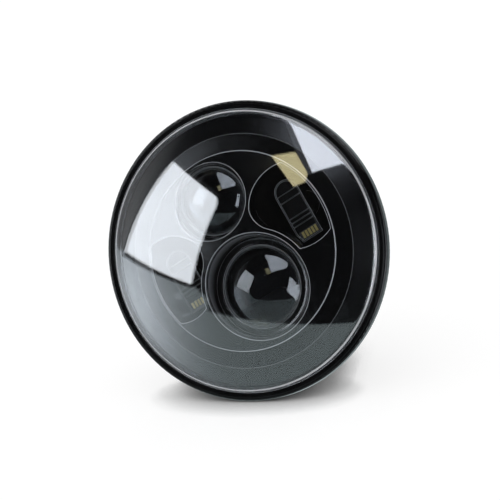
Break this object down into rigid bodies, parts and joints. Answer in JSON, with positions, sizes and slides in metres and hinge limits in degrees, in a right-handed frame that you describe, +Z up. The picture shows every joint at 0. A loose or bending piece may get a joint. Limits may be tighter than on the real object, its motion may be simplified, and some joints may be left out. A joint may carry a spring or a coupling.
{
  "type": "round motorcycle headlight",
  "caption": "Round motorcycle headlight with clear domed lens, black bezel, two projectors one above the other, side lamps and finned housing with cable inlet.",
  "frame": {"origin": "middle of the rim's round edge, on the lamp's axis in the rim's middle plane", "axes": "-Y to the front, along the beam; +Y to the rear, along the rim's axis; +Z up as mounted; +X to the right seen from the front"},
  "size_m": [0.178, 0.096, 0.178],
  "materials": {
    "housing_black": "gloss",
    "seal_grey": "satin",
    "lens_clear": "clear polycarbonate, polished",
    "bezel_black": "gloss",
    "projector_glass": "polished",
    "ring_grey": "satin",
    "holder_black": "matt",
    "shield_steel": "matt",
    "reflector_bright": "polished",
    "board_white": "matt",
    "chip_yellow": "matt",
    "bowl_dark": "dark, polished",
    "bar_dark": "gloss",
    "bar_board_dark": "matt",
    "plate_aluminium": "milled",
    "screw_steel": "bright",
    "board_green": "satin",
    "parts_dark": "matt",
    "pad_grey": "matt",
    "cover_black": "satin",
    "rubber_black": "matt",
    "gland_black": "matt"
  },
  "bodies": {
    "root": {"housing": "housing_black", "lens_seal": "seal_grey", "front_lens": "lens_clear", "bezel": "bezel_black", "low_beam_lens": "projector_glass", "low_lens_ring": "ring_grey", "low_lens_holder": "holder_black", "low_cutoff_shield": "shield_steel", "low_reflector": "reflector_bright", "low_led_board": "board_white", "low_led_chips": "chip_yellow", "high_beam_lens": "projector_glass", "high_lens_ring": "ring_grey", "high_lens_holder": "holder_black", "high_reflector": "reflector_bright", "high_led_board": "board_white", "high_led_chips": "chip_yellow", "left_side_reflector": "bowl_dark", "right_side_reflector": "bowl_dark", "left_lamp_bar": "bar_dark", "right_lamp_bar": "bar_dark", "left_bar_board": "bar_board_dark", "right_bar_board": "bar_board_dark", "left_bar_chips": "chip_yellow", "right_bar_chips": "chip_yellow", "heat_plate": "plate_aluminium", "projector_screws": "screw_steel", "bezel_screws": "screw_steel", "plate_screws": "screw_steel", "driver_board": "board_green", "driver_parts": "parts_dark", "thermal_pad": "pad_grey", "rear_cover": "cover_black", "cover_seal": "rubber_black", "cover_screws": "screw_steel", "cable_gland": "gland_black", "gland_locknut": "gland_black", "gland_nut": "gland_black", "gland_seal": "rubber_black", "vent_plug": "gland_black"}
  },
  "joints": []
}
